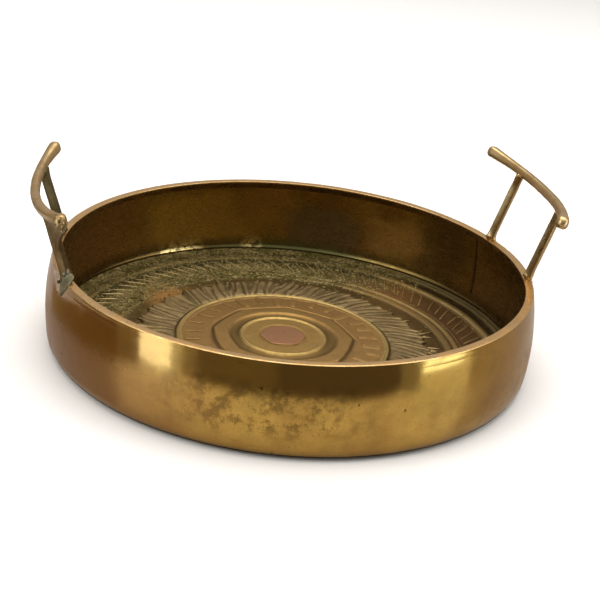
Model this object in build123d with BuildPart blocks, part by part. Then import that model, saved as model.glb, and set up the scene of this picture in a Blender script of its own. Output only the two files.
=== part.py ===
from build123d import *
import math
import os

# A round brass tray: a bellied wall, a flat rim, a decorated base and two
# brazed handles. Driving dimensions are in millimetres and degrees.
# Origin: centre of the underside. +Z up, the handles stand at +X and -X.
tray_height = 57.8
rim_radius = 150.6
rim_width = 5.8
rim_thickness = 1.8
rim_round = 0.8
rim_bead = 1.3

sheet = 1.5
wall_top_radius = 150.2
flat_radius = 145.0
corner_radius = 8.0
corner_angle = 83.0
base_edge_angle = 46.0
base_bead_angle = 5.0
base_bead_proud = 0.25

seam_azimuth = 21.0
seam_width = 2.4

plate_thickness = 2.0
inlay_across = 27.0
inlay_thickness = 0.6
inlay_seat = 0.3
inlay_corner = 5.0

bar_radius = 2.9
knob_radius = 3.8
club_length = 22.0
club_steps = 4
foot_radius = 147.6
post_foot_size = 5.0
post_top_size = 5.2
post_corner = 1.5
top_braze_radius = 4.0
top_braze_drop = 2.6
foot_solder_radius = 4.7
foot_solder_drop = 1.0

# Raised rings of the base: centre radius, half width, height above the plate.
base_rings = [
    (27.6, 1.9, 0.9),
    (41.0, 5.0, 0.6),
    (67.2, 1.6, 1.0),
    (81.5, 11.5, 0.5),
    (109.4, 1.4, 0.7),
    (113.6, 1.8, 0.8),
    (137.8, 2.2, 0.9),
]

# Each handle was bent and set by hand, so the two differ a little. Reaches are
# distances out along X, heights are above the rim, and the rest are places
# along Y: near is -Y, far is +Y.
handles = {
    "right": {
        "side": 1,
        "foot": {"near": -30.0, "far": 37.0},
        "head": {"near": -37.5, "far": 31.0},
        "knob": {"near": -67.5, "far": 61.5},
        "knob_reach": 144.6,
        "knob_height": 51.8,
        "middle_reach": 158.6,
        "middle_height": 47.8,
    },
    "left": {
        "side": -1,
        "foot": {"near": -36.0, "far": 35.0},
        "head": {"near": -43.0, "far": 37.5},
        "knob": {"near": -65.0, "far": 65.0},
        "knob_reach": 147.8,
        "knob_height": 46.6,
        "middle_reach": 160.8,
        "middle_height": 39.4,
    },
}

os.makedirs("parts", exist_ok=True)

# The wall's section is two arcs: a tight corner, then a long shallow belly that
# leaves the corner smoothly and ends at the top of the wall.
wall_top = tray_height - rim_thickness
wall_edge_angle = base_edge_angle + base_bead_angle
corner_centre = (flat_radius, corner_radius)
belly_turn = math.radians(corner_angle)
belly_start = (
    flat_radius + corner_radius * math.sin(belly_turn),
    corner_radius - corner_radius * math.cos(belly_turn),
)
belly_run = (wall_top_radius - belly_start[0], wall_top - belly_start[1])
belly_lean = belly_run[1] * math.cos(belly_turn) - belly_run[0] * math.sin(belly_turn)
belly_radius = (belly_run[0] ** 2 + belly_run[1] ** 2) / (2 * belly_lean)
belly_centre = (
    belly_start[0] - belly_radius * math.sin(belly_turn),
    belly_start[1] + belly_radius * math.cos(belly_turn),
)


def save(builder, label):
    """Label a finished sub-part and write its STEP file."""
    builder.part.label = label
    export_step(builder.part, f"parts/{label}.step")


def on_arc(centre, radius, angle):
    """Return the point of an arc at an angle measured up from its lowest point."""
    turn = math.radians(angle)
    return (centre[0] + radius * math.sin(turn), centre[1] - radius * math.cos(turn))


def draw_arc(centre, radius, first, last):
    """Draw one arc of a section between two such angles."""
    ThreePointArc(
        on_arc(centre, radius, first),
        on_arc(centre, radius, (first + last) / 2),
        on_arc(centre, radius, last),
    )


def belly_end(inset):
    """Return the angle at which the belly, moved in by inset, meets the wall's top."""
    rise = (wall_top - belly_centre[1]) / (belly_radius - inset)
    return 90 + math.degrees(math.asin(rise))


def draw_wall_section():
    """Draw the closed section of the wall sheet."""
    draw_arc(corner_centre, corner_radius, wall_edge_angle, corner_angle)
    draw_arc(belly_centre, belly_radius, corner_angle, belly_end(0))
    Line(
        on_arc(belly_centre, belly_radius, belly_end(0)),
        on_arc(belly_centre, belly_radius - sheet, belly_end(sheet)),
    )
    draw_arc(belly_centre, belly_radius - sheet, belly_end(sheet), corner_angle)
    draw_arc(corner_centre, corner_radius - sheet, corner_angle, wall_edge_angle)
    Line(
        on_arc(corner_centre, corner_radius - sheet, wall_edge_angle),
        on_arc(corner_centre, corner_radius, wall_edge_angle),
    )


# Wall: a strip bent into a hoop, with a narrow gap where its ends meet.
seam_angle = math.degrees(seam_width / wall_top_radius)
seam_start = Plane.XZ.rotated((0, 0, seam_azimuth - seam_angle / 2))
hoop_start = Plane.XZ.rotated((0, 0, seam_azimuth + seam_angle / 2))

with BuildPart() as wall:
    with BuildSketch(hoop_start):
        with BuildLine():
            draw_wall_section()
        make_face()
    revolve(axis=Axis.Z, revolution_arc=360 - seam_angle)

save(wall, "wall")

# Upright seam: the brass brazed into the gap between the hoop's two ends.
with BuildPart() as wall_seam:
    with BuildSketch(seam_start):
        with BuildLine():
            draw_wall_section()
        make_face()
    revolve(axis=Axis.Z, revolution_arc=seam_angle)

save(wall_seam, "wall_seam")

# Base: a flat disc whose edge is turned up into the corner, with raised rings.
with BuildPart() as base_plate:
    with BuildSketch(Plane.XZ):
        with BuildLine():
            edge_low = on_arc(corner_centre, corner_radius, base_edge_angle)
            edge_high = on_arc(corner_centre, corner_radius - sheet, base_edge_angle)
            step_foot = on_arc(corner_centre, corner_radius - sheet, 0)
            Line((0, 0), (flat_radius, 0))
            draw_arc(corner_centre, corner_radius, 0, base_edge_angle)
            Line(edge_low, edge_high)
            draw_arc(corner_centre, corner_radius - sheet, base_edge_angle, 0)
            Polyline(step_foot, (flat_radius, plate_thickness), (0, plate_thickness), (0, 0))
        make_face()
    revolve(axis=Axis.Z)
    with BuildSketch(Plane.XZ):
        for ring_radius, half_width, rise in base_rings:
            with BuildLine():
                ring_in = (ring_radius - half_width, plate_thickness)
                ring_out = (ring_radius + half_width, plate_thickness)
                ring_top = (ring_radius, plate_thickness + rise)
                ThreePointArc(ring_in, ring_top, ring_out)
                Line(ring_out, ring_in)
            make_face()
    revolve(axis=Axis.Z)
    with BuildSketch(Plane.XY.offset(plate_thickness - inlay_seat)):
        RegularPolygon(radius=inlay_across / 2, side_count=6, major_radius=False)
        fillet(vertices(), radius=inlay_corner)
    extrude(amount=inlay_seat, mode=Mode.SUBTRACT)

save(base_plate, "base_plate")

# Copper centre: a thin rounded hexagon let into the base.
with BuildPart() as centre_inlay:
    with BuildSketch(Plane.XY.offset(plate_thickness - inlay_seat)):
        RegularPolygon(radius=inlay_across / 2, side_count=6, major_radius=False)
        fillet(vertices(), radius=inlay_corner)
    extrude(amount=inlay_thickness)
    fillet(faces().sort_by(Axis.Z)[-1].edges(), radius=0.2)

save(centre_inlay, "centre_inlay")

# Base seam: the bead of braze between the base's turned-up edge and the wall.
bead_middle = (base_edge_angle + wall_edge_angle) / 2
bead_outline = [
    on_arc(corner_centre, corner_radius, base_edge_angle),
    on_arc(corner_centre, corner_radius + base_bead_proud, bead_middle),
    on_arc(corner_centre, corner_radius, wall_edge_angle),
    on_arc(corner_centre, corner_radius - sheet, wall_edge_angle),
    on_arc(corner_centre, corner_radius - sheet - base_bead_proud, bead_middle),
    on_arc(corner_centre, corner_radius - sheet, base_edge_angle),
]
with BuildPart() as base_seam:
    with BuildSketch(Plane.XZ):
        with BuildLine():
            Polyline(*bead_outline, close=True)
        make_face()
    revolve(axis=Axis.Z)

save(base_seam, "base_seam")

# Rim: a flat ring on the wall's top edge, rounded outside and sharp inside.
rim_inner_radius = rim_radius - rim_width
with BuildPart() as rim:
    with BuildSketch(Plane.XZ):
        with Locations((rim_inner_radius, wall_top)):
            Rectangle(rim_width, rim_thickness, align=(Align.MIN, Align.MIN))
        fillet(vertices().group_by(Axis.X)[-1], radius=rim_round)
    revolve(axis=Axis.Z)

save(rim, "rim")

# Rim braze: the bead under the overhang that holds the rim to the wall.
wall_inner_top = on_arc(belly_centre, belly_radius - sheet, belly_end(sheet))
bead_drop_angle = belly_end(sheet) - math.degrees(rim_bead / (belly_radius - sheet))
bead_foot = on_arc(belly_centre, belly_radius - sheet, bead_drop_angle)
with BuildPart() as rim_braze:
    with BuildSketch(Plane.XZ):
        with BuildLine():
            bead_edge = (wall_inner_top[0] - rim_bead, wall_top)
            Polyline(wall_inner_top, bead_edge, bead_foot, close=True)
        make_face()
    revolve(axis=Axis.Z)

save(rim_braze, "rim_braze")


def bar_point(handle, along):
    """Return the point of a bar's centre line, a bowed arc, at a place along Y."""
    middle = Vector(handle["side"] * handle["middle_reach"], 0, handle["middle_height"])
    knob = Vector(handle["side"] * handle["knob_reach"], 0, handle["knob_height"])
    bow = knob - middle
    half_span = (handle["knob"]["far"] - handle["knob"]["near"]) / 2
    centre = (handle["knob"]["far"] + handle["knob"]["near"]) / 2
    arc_radius = (half_span**2 + bow.length**2) / (2 * bow.length)
    fall = arc_radius - math.sqrt(arc_radius**2 - (along - centre) ** 2)
    return middle + bow.normalized() * fall + Vector(0, along, tray_height)


# Handles: a bowed bar with a clubbed knob at each end, on two leaning posts. The
# posts are brazed to the bar and soldered to the rim.
for hand, handle in handles.items():
    near = handle["knob"]["near"]
    far = handle["knob"]["far"]
    with BuildPart() as bar:
        with BuildLine(mode=Mode.PRIVATE) as spine:
            ThreePointArc(*[bar_point(handle, place) for place in (near, (near + far) / 2, far)])
        line = spine.edges()[0]
        share = club_length / line.length
        grip = line.trim(share, 1 - share)
        with BuildSketch(Plane(origin=grip @ 0, z_dir=grip % 0)):
            Circle(bar_radius)
        sweep(path=grip)
        for neck, tip in ((share, 0), (1 - share, 1)):
            for step in range(club_steps + 1):
                part_way = step / club_steps
                place = neck + (tip - neck) * part_way
                swell = (knob_radius - bar_radius) * part_way**2
                with BuildSketch(Plane(origin=line @ place, z_dir=line % place)):
                    Circle(bar_radius + swell)
            loft(ruled=True)
            outwards = line % tip if tip else -(line % tip)
            with Locations(Plane(origin=line @ tip, z_dir=outwards)):
                dome_seat = (Align.CENTER, Align.CENTER, Align.MIN)
                Sphere(radius=knob_radius, arc_size1=0, align=dome_seat)
    save(bar, f"handle_bar_{hand}")

    for end in ("near", "far"):
        foot_place = handle["foot"][end]
        foot_reach = math.sqrt(foot_radius**2 - foot_place**2)
        foot = Vector(handle["side"] * foot_reach, foot_place, tray_height)
        head = bar_point(handle, handle["head"][end])
        rise = (head - foot).normalized()
        with BuildPart() as post:
            for size, spot in ((post_foot_size, foot - rise * 2), (post_top_size, head)):
                with BuildSketch(Plane(origin=spot, x_dir=(0, 1, 0), z_dir=rise)):
                    RectangleRounded(size, size, post_corner)
            loft(ruled=True)
            split(bisect_by=Plane.XY.offset(tray_height), keep=Keep.TOP)
            add(bar.part, mode=Mode.SUBTRACT)
        save(post, f"post_{hand}_{end}")

        with BuildPart() as top_braze:
            with Locations(head - rise * top_braze_drop):
                Sphere(radius=top_braze_radius)
            add(bar.part, mode=Mode.SUBTRACT)
            add(post.part, mode=Mode.SUBTRACT)
        save(top_braze, f"top_braze_{hand}_{end}")

        with BuildPart() as foot_solder:
            with Locations(foot - Vector(0, 0, foot_solder_drop)):
                Sphere(radius=foot_solder_radius)
            with BuildSketch(Plane.XY.offset(wall_top)):
                Circle(wall_top_radius - sheet / 4)
            extrude(amount=-2 * foot_solder_radius, mode=Mode.SUBTRACT)
            for neighbour in (rim, wall, post):
                add(neighbour.part, mode=Mode.SUBTRACT)
        save(foot_solder, f"foot_solder_{hand}_{end}")
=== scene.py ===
import math
import random

import bmesh
import bpy
from mathutils import Matrix, Vector, noise


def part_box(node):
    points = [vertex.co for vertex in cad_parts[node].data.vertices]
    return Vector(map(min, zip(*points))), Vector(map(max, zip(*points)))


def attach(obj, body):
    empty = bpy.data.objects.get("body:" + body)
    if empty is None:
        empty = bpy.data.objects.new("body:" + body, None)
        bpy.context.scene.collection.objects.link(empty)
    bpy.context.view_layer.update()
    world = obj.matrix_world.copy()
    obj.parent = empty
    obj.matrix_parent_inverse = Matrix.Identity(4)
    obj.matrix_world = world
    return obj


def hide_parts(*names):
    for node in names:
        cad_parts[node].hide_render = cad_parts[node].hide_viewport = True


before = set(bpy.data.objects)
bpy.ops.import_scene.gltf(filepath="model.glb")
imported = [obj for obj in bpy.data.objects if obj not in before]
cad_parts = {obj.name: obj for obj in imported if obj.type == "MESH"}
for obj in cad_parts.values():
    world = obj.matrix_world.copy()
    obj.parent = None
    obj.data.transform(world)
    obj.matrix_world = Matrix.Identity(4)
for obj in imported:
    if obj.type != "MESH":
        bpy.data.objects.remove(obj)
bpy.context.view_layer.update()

mm = 0.001
scene = bpy.context.scene


# small helpers for meshes

def makeObject(bm, name, materials):
    mesh = bpy.data.meshes.new(name)
    bm.to_mesh(mesh)
    bm.free()
    for material in materials:
        mesh.materials.append(material)
    made = bpy.data.objects.new(name, mesh)
    scene.collection.objects.link(made)
    return made


def finishPiece(bm, name, materials, nodes=(), merge=0.01 * mm):
    if merge:
        bmesh.ops.remove_doubles(bm, verts=bm.verts, dist=merge)
    bmesh.ops.recalc_face_normals(bm, faces=bm.faces)
    for face in bm.faces:
        face.smooth = True
    piece = makeObject(bm, name, materials)
    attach(piece, "root")
    if nodes:
        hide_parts(*nodes)
    return piece


def spoke(angle):
    return Vector((math.cos(angle), math.sin(angle), 0))


def flatten(point):
    return Vector((point.x, point.y, 0))


def wave(point, size, seed=0.0):
    # soft noise from -1 to 1, with features about as large as size
    return noise.noise(point / size + Vector((seed, 2.7 * seed, -1.3 * seed)))


def roughen(bm, amount, size, seed):
    bm.normal_update()
    for vert in bm.verts:
        vert.co += vert.normal * amount * wave(vert.co, size, seed)


def spinOutline(outline, steps, closed=True):
    # outline is a list of (radius, height) and is turned once round the Z axis
    bm = bmesh.new()
    ring = [bm.verts.new((r, 0, z)) for r, z in outline]
    pairs = list(zip(ring, ring[1:]))
    if closed:
        pairs.append((ring[-1], ring[0]))
    edges = [bm.edges.new(pair) for pair in pairs]
    bmesh.ops.spin(
        bm, geom=ring + edges, cent=(0, 0, 0), axis=(0, 0, 1),
        dvec=(0, 0, 0), angle=math.tau, steps=steps, use_merge=True,
    )
    bmesh.ops.remove_doubles(bm, verts=bm.verts, dist=0.005 * mm)
    return bm


def growRing(bm, edges):
    # extrudes a ring of edges and gives the new ring's vertices and edges
    grown = bmesh.ops.extrude_edge_only(bm, edges=edges)["geom"]
    ring = [item for item in grown if isinstance(item, bmesh.types.BMVert)]
    grownEdges = [item for item in grown if isinstance(item, bmesh.types.BMEdge)]
    return ring, [edge for edge in grownEdges if all(vert in ring for vert in edge.verts)]


def arcPoints(centre, radius, first, last, count):
    # angles are in degrees, measured up from the lowest point of the circle
    points = []
    for step in range(count + 1):
        turn = math.radians(first + (last - first) * step / count)
        points.append((centre[0] + radius * math.sin(turn), centre[1] - radius * math.cos(turn)))
    return points


# small helpers for materials

class Field:
    # a value inside a material's node tree: arithmetic on it adds nodes to the tree
    def __init__(self, tree, socket):
        self.tree = tree
        self.socket = socket

    def calc(self, operation, other=0.0, swapped=False):
        node = self.tree.nodes.new("ShaderNodeMath")
        node.operation = operation
        first, second = (other, self) if swapped else (self, other)
        plug(self.tree, node.inputs[0], first)
        plug(self.tree, node.inputs[1], second)
        return Field(self.tree, node.outputs[0])

    def __mul__(self, other):
        return self.calc("MULTIPLY", other)

    def __add__(self, other):
        return self.calc("ADD", other)

    def __sub__(self, other):
        return self.calc("SUBTRACT", other)

    def __rsub__(self, other):
        return self.calc("SUBTRACT", other, True)

    def __abs__(self):
        return self.calc("ABSOLUTE")

    def remap(self, low, high, toLow=0.0, toHigh=1.0):
        node = self.tree.nodes.new("ShaderNodeMapRange")
        node.interpolation_type = "SMOOTHSTEP"
        values = {"Value": self, "From Min": low, "From Max": high, "To Min": toLow, "To Max": toHigh}
        for name, value in values.items():
            plug(self.tree, node.inputs[name], value)
        return Field(self.tree, node.outputs["Result"])

    def fall(self, low, high):
        return self.remap(low, high, 1.0, 0.0)

    def band(self, low, full, fade, high):
        # 1 between full and fade, and 0 below low and above high
        return self.remap(low, full) * self.fall(fade, high)

    def blend(self, first, second):
        # from the first colour to the second, with this value as the mask
        node = self.tree.nodes.new("ShaderNodeMix")
        node.data_type = "RGBA"
        plug(self.tree, node.inputs[0], self)
        plug(self.tree, node.inputs[6], first)
        plug(self.tree, node.inputs[7], second)
        return Field(self.tree, node.outputs[2])

    def split(self):
        node = self.tree.nodes.new("ShaderNodeSeparateXYZ")
        plug(self.tree, node.inputs[0], self)
        return [Field(self.tree, socket) for socket in node.outputs]

    def noise(self, size, detail=4.0, rough=0.55, stretch=(1, 1, 1)):
        mapping = self.tree.nodes.new("ShaderNodeMapping")
        mapping.inputs["Scale"].default_value = [1 / (size * s) for s in stretch]
        plug(self.tree, mapping.inputs["Vector"], self)
        node = self.tree.nodes.new("ShaderNodeTexNoise")
        node.inputs["Scale"].default_value = 1.0
        node.inputs["Detail"].default_value = detail
        node.inputs["Roughness"].default_value = rough
        plug(self.tree, node.inputs["Vector"], Field(self.tree, mapping.outputs["Vector"]))
        return Field(self.tree, node.outputs["Fac"])


def plug(tree, socket, value):
    if isinstance(value, Field):
        tree.links.new(value.socket, socket)
    elif isinstance(value, (int, float)):
        socket.default_value = value
    else:
        socket.default_value = (*value, 1.0) if len(value) == 3 else value


def startMaterial(name, metallic, roughness):
    material = bpy.data.materials.new(name)
    material.use_nodes = True
    tree = material.node_tree
    finishMaterial(tree, {"Metallic": metallic, "Roughness": roughness})
    place = tree.nodes.new("ShaderNodeTexCoord").outputs["Object"]
    return material, tree, Field(tree, place)


def finishMaterial(tree, inputs):
    for name, value in inputs.items():
        plug(tree, tree.nodes["Principled BSDF"].inputs[name], value)


def layered(colour, *layers):
    # each layer is a mask and the tint it lays over what is below
    for mask, tint in layers:
        colour = mask.blend(colour, tint)
    return colour


def attribute(tree, name):
    node = tree.nodes.new("ShaderNodeAttribute")
    node.attribute_name = name
    return Field(tree, node.outputs["Fac"])


def distanceTo(x, y, placeX, placeY):
    squares = (x - placeX).calc("POWER", 2.0) + (y - placeY).calc("POWER", 2.0)
    return squares.calc("SQRT")


def addBump(tree, height, strength, distance):
    bump = tree.nodes.new("ShaderNodeBump")
    bump.inputs["Strength"].default_value = strength
    bump.inputs["Distance"].default_value = distance
    plug(tree, bump.inputs["Height"], height)
    finishMaterial(tree, {"Normal": Field(tree, bump.outputs["Normal"])})


# the brass's own tones, as base colours
brass = {
    "gold": (0.375, 0.222, 0.052),
    "olive": (0.27, 0.172, 0.042),
    "brown": (0.20, 0.10, 0.026),
    "pink": (0.25, 0.128, 0.05),
    "spot": (0.10, 0.055, 0.02),
    "tan": (0.67, 0.435, 0.19),
    "tanDark": (0.50, 0.30, 0.115),
}


def makeWallOuter():
    material, tree, place = startMaterial("wallPolish", 1.0, 0.3)
    x, y, z = place.split()
    patches = place.noise(38 * mm, 5, 0.6).remap(0.42, 0.66)
    mottle = place.noise(11 * mm, 6, 0.65).remap(0.42, 0.7)
    speckle = place.noise(1.3 * mm, 4, 0.75).remap(0.54, 0.72)
    spots = place.noise(6.5 * mm, 2, 0.5).remap(0.74, 0.77)
    streaks = place.noise(5 * mm, 3, 0.5, stretch=(3, 3, 0.35)).remap(0.6, 0.76)
    blotch = place.noise(10 * mm, 9, 0.8).remap(0.46, 0.58)
    low = z.fall(26 * mm, 47 * mm)
    # darker towards the foot: the mask for painted shade near the floor
    foot = z.fall(3 * mm, 15 * mm)
    middle = z.band(8 * mm, 22 * mm, 38 * mm, 50 * mm)
    # pinker and darker towards the wall's left and right ends: partly the brass's own pink tone, partly painted
    # darker reflection at the ends
    ends = abs(x - 14 * mm).remap(60 * mm, 160 * mm)
    front = abs(x + 42 * mm).fall(22 * mm, 78 * mm)
    colour = layered(
        brass["gold"],
        (mottle * 0.6, brass["olive"]),
        (patches * 0.55 * low, brass["brown"]),
        (front * blotch * middle * 0.85, (0.125, 0.07, 0.018)),
        # the ends' tint: partly the brass's own pink tone, partly painted darker reflection
        (ends * 0.85, brass["pink"]),
        # painted shade: the wall darkens towards its foot, near the floor
        (foot * 0.5, brass["brown"]),
        (speckle * low * 0.7, brass["brown"]),
        (streaks * 0.35, brass["brown"]),
        (spots, brass["spot"]),
    )
    finishMaterial(tree, {"Base Color": colour, "Roughness": mottle * 0.07 + low * 0.19 + 0.11})
    addBump(tree, place.noise(0.8 * mm, 4, 0.7) * (low + 0.25), 0.12, 0.2 * mm)
    return material


# broad tints of the inner wall, partly the brass's own tone and partly painted reflection (bright golden
# patches and dark bands): bearing in degrees, half width, lowest and highest middle, tint
innerTintsAndReflections = [
    (146, 22, 8, 60, (0.36, 0.185, 0.062)),
    (106, 16, 12, 46, (0.50, 0.30, 0.065)),
    (84, 9, 24, 60, (0.40, 0.22, 0.05)),
    (70, 12, 6, 38, (0.19, 0.14, 0.08)),
    (47, 9, 18, 40, (0.44, 0.27, 0.09)),
    (33, 10, 8, 60, (0.14, 0.09, 0.035)),
    (8, 14, 4, 34, (0.30, 0.19, 0.08)),
]


def makeWallInner():
    material, tree, place = startMaterial("wallInside", 1.0, 0.35)
    x, y, z = place.split()
    patches = place.noise(40 * mm, 4, 0.5).remap(0.38, 0.66)
    mottle = place.noise(9 * mm, 4, 0.55, stretch=(1, 1, 0.5)).remap(0.4, 0.7)
    # the foot of the wall: the mask for the painted shade and painted glints there, and for the green stain
    foot = z.fall(4 * mm, 15 * mm)
    colour = patches.blend((0.3, 0.178, 0.042), (0.2, 0.105, 0.028))
    bearing = y.calc("ARCTAN2", x) * (180 / math.pi)
    ripple = (place.noise(30 * mm, 4) - 0.5) * 26
    lift = (place.noise(22 * mm, 4) - 0.5) * (30 * mm)
    # lays on the broad tints: partly own tone, partly painted reflection
    for middle, half, low, high, tint in innerTintsAndReflections:
        away = abs(bearing + ripple - middle)
        level = z + lift
        height = level.band((low - 8) * mm, (low + 4) * mm, (high - 6) * mm, (high + 8) * mm)
        share = away.fall(half * 0.4, half * 1.3) * height
        colour = (share * 0.85).blend(colour, tint)
    flecks = place.noise(4 * mm, 5, 0.7).remap(0.62, 0.72)
    fromBack = abs(bearing - 78)
    green = fromBack.fall(8, 30) * foot
    # painted glints: two bright patches low on the back of the inner wall stand in for reflected light
    paintedGlints = 0.0
    for placeX, placeY, size in ((-52 * mm, 138 * mm, 21 * mm), (1 * mm, 148 * mm, 10 * mm)):
        far = distanceTo(x, y, placeX, placeY)
        paintedGlints = far.fall(size * 0.5, size).calc("MAXIMUM", paintedGlints)
    paintedGlints = paintedGlints * place.noise(4 * mm, 4, 0.7).remap(0.38, 0.55)
    colour = layered(
        colour,
        (mottle * 0.35, (0.19, 0.12, 0.034)),
        (flecks * 0.5, brass["spot"]),
        # painted shade: the inner wall darkens towards its foot, in the corner with the base
        (foot * 0.8, (0.085, 0.06, 0.02)),
        (green * 0.7, (0.15, 0.16, 0.06)),
        # painted glints at the foot
        (paintedGlints * foot, (0.8, 0.6, 0.25)),
    )
    finishMaterial(tree, {"Base Color": colour, "Roughness": mottle * 0.12 + 0.24})
    scratches = place.noise(2 * mm, 5, 0.7, stretch=(2, 2, 0.6))
    addBump(tree, scratches, 0.1, 0.2 * mm)
    return material


def makeWorn(name, light, dark, grainSize, metallic, low, high, bump):
    material, tree, place = startMaterial(name, metallic, high)
    grain = grainSize * mm
    tone = place.noise(grain * 4, 5, 0.6).remap(0.38, 0.66)
    fleck = place.noise(grain, 5, 0.75).remap(0.45, 0.68)
    colour = layered(light, (tone, dark), (fleck * 0.4, dark))
    finishMaterial(tree, {"Base Color": colour, "Roughness": tone * (high - low) + low})
    addBump(tree, place.noise(grain * 0.6, 4, 0.7), bump, 0.4 * mm)
    return material


def makeLeafBrass():
    # the crests of the leaves are rubbed pale and the gaps between them hold dirt
    material, tree, place = startMaterial("leafBrass", 0.9, 0.52)
    tone = place.noise(12 * mm, 5, 0.6).remap(0.38, 0.66)
    pale = tone.blend((0.27, 0.19, 0.085), (0.18, 0.12, 0.047))
    share = (attribute(tree, "crest") + place.noise(2 * mm, 4, 0.7)).remap(0.6, 1.5)
    worn = place.noise(16 * mm, 4, 0.6).remap(0.4, 0.62)
    gap = worn.blend((0.075, 0.05, 0.018), (0.145, 0.1, 0.042))
    finishMaterial(tree, {"Base Color": share.blend(gap, pale)})
    addBump(tree, place.noise(1.4 * mm, 4, 0.7), 0.3, 0.4 * mm)
    return material


# the base's tones from the centre outwards: the radius in millimetres at which each one ends
baseTones = [
    (25.2, (0.29, 0.175, 0.048)),
    (28.2, (0.40, 0.27, 0.09)),
    (34.2, (0.135, 0.078, 0.019)),
    (44.6, (0.265, 0.152, 0.045)),
    (46.4, (0.10, 0.055, 0.016)),
    (65.2, (0.265, 0.148, 0.045)),
    (68.4, (0.34, 0.235, 0.082)),
    (71, (0.07, 0.042, 0.014)),
    (90, (0.13, 0.085, 0.028)),
    (103, (0.068, 0.038, 0.010)),
    (105.4, (0.085, 0.054, 0.018)),
    (110, (0.19, 0.12, 0.042)),
    (111.4, (0.09, 0.054, 0.019)),
    (115, (0.205, 0.135, 0.048)),
    (133, (0.10, 0.05, 0.019)),
    (140, (0.23, 0.16, 0.062)),
    (145, (0.035, 0.022, 0.008)),
    (160, (0.09, 0.068, 0.026)),
]


def makeBase():
    material, tree, place = startMaterial("baseRelief", 0.93, 0.5)
    x, y, z = place.split()
    laid = attribute(tree, "laidRadius")      # each point's radius before the pattern drifted off centre
    wander = place.noise(9 * mm, 5, 0.7) - 0.5
    radius = laid + wander * (1.2 * mm)
    drift = (place.noise(25 * mm, 4) - 0.5) * (60 * mm)
    mottle = place.noise(5 * mm, 6, 0.7).remap(0.4, 0.66)
    grain = place.noise(2.2 * mm, 5, 0.8).remap(0.46, 0.6)
    backward = y - x * 0.35 + drift
    green = backward.remap(30 * mm, 100 * mm)
    colour = baseTones[0][1]
    for (edge, _), (_, after) in zip(baseTones, baseTones[1:]):
        colour = radius.remap((edge - 0.5) * mm, (edge + 0.5) * mm).blend(colour, after)
    crusted = green * radius.remap(100 * mm, 106 * mm)
    pale = place.noise(12 * mm, 5, 0.7).remap(0.42, 0.6)
    lichen = pale.blend((0.11, 0.088, 0.02), (0.28, 0.21, 0.085))
    ringed = radius.band(133 * mm, 135.5 * mm, 139 * mm, 141 * mm)
    ditch = radius.band(126 * mm, 130 * mm, 134 * mm, 137 * mm) * green
    rust = distanceTo(x, y, -68 * mm, 62 * mm)
    rusty = (rust + wander * (22 * mm)).fall(5 * mm, 26 * mm)
    colour = layered(
        colour,
        (mottle * 0.35, (0.15, 0.09, 0.03)),
        (green * 0.25, (0.14, 0.105, 0.032)),
        (crusted * (0.85 - ringed * 0.6), lichen),
        (crusted * grain, (0.045, 0.038, 0.01)),
        (ditch * 0.85, (0.032, 0.03, 0.008)),
        (rusty * 0.75, (0.32, 0.165, 0.05)),
    )
    finishMaterial(tree, {"Base Color": colour, "Roughness": mottle * 0.1 + crusted * 0.2 + 0.45})
    addBump(tree, place.noise(1.2 * mm, 5, 0.75), 0.4, 0.5 * mm)
    return material


plateTop = 2.0 * mm   # the height of the base's flat ground inside the tray
wallPolish = makeWallOuter()
wallInside = makeWallInner()
# the small metals: light tone, dark tone, grain in millimetres, metallic, least and most roughness, bump
wornMetals = {
    "rimSatin": (brass["tan"], brass["tanDark"], 2.5, 1.0, 0.26, 0.42, 0.25),
    "castBrass": ((0.48, 0.335, 0.16), (0.36, 0.235, 0.1), 3, 1.0, 0.32, 0.44, 0.12),
    "postBrass": ((0.46, 0.31, 0.13), (0.34, 0.22, 0.085), 3, 1.0, 0.26, 0.36, 0.06),
    "webBrass": ((0.25, 0.17, 0.08), (0.15, 0.105, 0.05), 4, 1.0, 0.36, 0.5, 0.3),
    "webOlive": ((0.15, 0.115, 0.05), (0.095, 0.07, 0.028), 4, 1.0, 0.34, 0.5, 0.25),
    "brazeMetal": ((0.34, 0.235, 0.095), (0.11, 0.07, 0.032), 0.9, 1.0, 0.26, 0.55, 0.5),
    "solderGrey": ((0.22, 0.195, 0.12), (0.1, 0.085, 0.042), 1.6, 1.0, 0.4, 0.6, 0.5),
    "copperPink": ((0.36, 0.18, 0.088), (0.3, 0.145, 0.068), 3, 1.0, 0.4, 0.5, 0.25),
    "chasedLight": ((0.3, 0.215, 0.095), (0.16, 0.105, 0.04), 3, 0.85, 0.46, 0.58, 0.25),
    "petalGold": ((0.31, 0.18, 0.055), (0.21, 0.115, 0.034), 2, 0.85, 0.42, 0.54, 0.25),
    "fringePale": ((0.36, 0.265, 0.12), (0.22, 0.15, 0.06), 2, 0.85, 0.42, 0.54, 0.25),
    "crustGreen": ((0.33, 0.265, 0.11), (0.09, 0.07, 0.022), 1.0, 0.8, 0.55, 0.8, 0.6),
    "seamDirt": ((0.06, 0.032, 0.011), (0.035, 0.018, 0.006), 1.5, 0.95, 0.5, 0.7, 0.4),
}
metals = {name: makeWorn(name, *values) for name, values in wornMetals.items()}
leafBrass = makeLeafBrass()
baseRelief = makeBase()
print("materials made")


# the wall

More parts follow.
